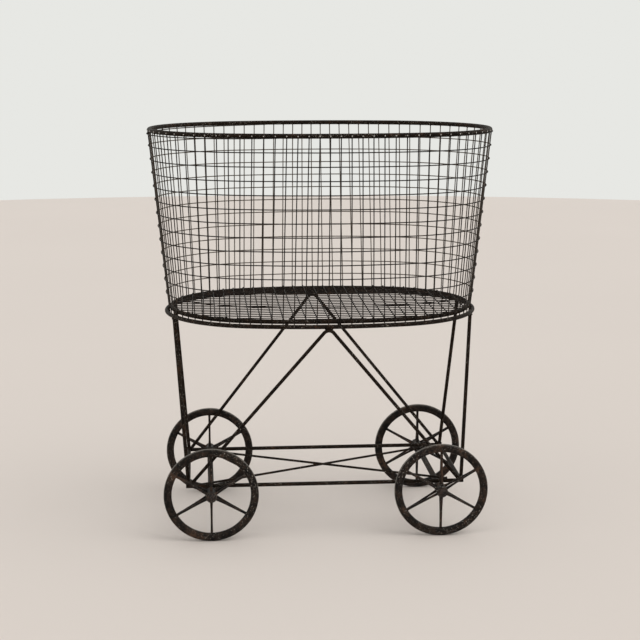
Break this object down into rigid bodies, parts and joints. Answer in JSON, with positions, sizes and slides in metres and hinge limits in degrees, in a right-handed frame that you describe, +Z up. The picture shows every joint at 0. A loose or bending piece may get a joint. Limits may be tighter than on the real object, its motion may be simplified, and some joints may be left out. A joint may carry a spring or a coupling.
{
  "type": "wheeled wire basket cart",
  "caption": "Oval tapered basket of welded wire on a rod stand with crossed braces, rolling on cast spoked wheels that turn on fixed axles.",
  "frame": {"origin": "on the floor under the middle of the basket, midway between the axles and between the front and back wheels", "axes": "+Z up, +X along the basket's length, +Y towards the back; the cart rolls along X"},
  "size_m": [0.6596, 0.474, 0.7645],
  "materials": {
    "rod_iron": "dark brown black iron with rust freckles and pale worn flecks",
    "wire_iron": "dark brown black wire, lightly rusted at the crossings",
    "worn_iron": "rubbed iron with rust in the corners",
    "cast_iron": "rough dark casting with pale chips and rust patches"
  },
  "bodies": {
    "cart": {"rim_ring": "rod_iron", "selvage_hoop": "wire_iron", "hoop_01": "wire_iron", "hoop_02": "wire_iron", "hoop_03": "wire_iron", "hoop_04": "wire_iron", "hoop_05": "wire_iron", "hoop_06": "wire_iron", "hoop_07": "wire_iron", "hoop_08": "wire_iron", "hoop_09": "wire_iron", "hoop_10": "wire_iron", "hoop_11": "wire_iron", "hoop_12": "wire_iron", "wall_wires": "wire_iron", "base_ring": "rod_iron", "floor_depth_wires": "wire_iron", "floor_cross_wires": "wire_iron", "stand_ring": "rod_iron", "leg_front_left": "rod_iron", "leg_front_right": "rod_iron", "leg_back_left": "rod_iron", "leg_back_right": "rod_iron", "strut_front": "rod_iron", "strut_back": "rod_iron", "rail_front": "rod_iron", "rail_back": "rod_iron", "end_rail_left": "rod_iron", "end_rail_right": "rod_iron", "brace_lower": "rod_iron", "brace_upper": "rod_iron", "axle_left": "worn_iron", "axle_right": "worn_iron", "inner_washers": "worn_iron", "outer_washers": "worn_iron"},
    "wheel_front_left": {"wheel_front_left": "cast_iron"},
    "wheel_front_right": {"wheel_front_right": "cast_iron"},
    "wheel_back_left": {"wheel_back_left": "cast_iron"},
    "wheel_back_right": {"wheel_back_right": "cast_iron"}
  },
  "joints": [
    {"name": "wheel_front_left_spin", "type": "hinge", "parent": "cart", "child": "wheel_front_left", "pos_m": [-0.217, -0.16096, 0.089], "axis": [0, 1, 0], "continuous": true},
    {"name": "wheel_front_right_spin", "type": "hinge", "parent": "cart", "child": "wheel_front_right", "pos_m": [0.217, -0.16096, 0.089], "axis": [0, 1, 0], "continuous": true},
    {"name": "wheel_back_left_spin", "type": "hinge", "parent": "cart", "child": "wheel_back_left", "pos_m": [-0.217, 0.16096, 0.089], "axis": [0, 1, 0], "continuous": true},
    {"name": "wheel_back_right_spin", "type": "hinge", "parent": "cart", "child": "wheel_back_right", "pos_m": [0.217, 0.16096, 0.089], "axis": [0, 1, 0], "continuous": true}
  ]
}
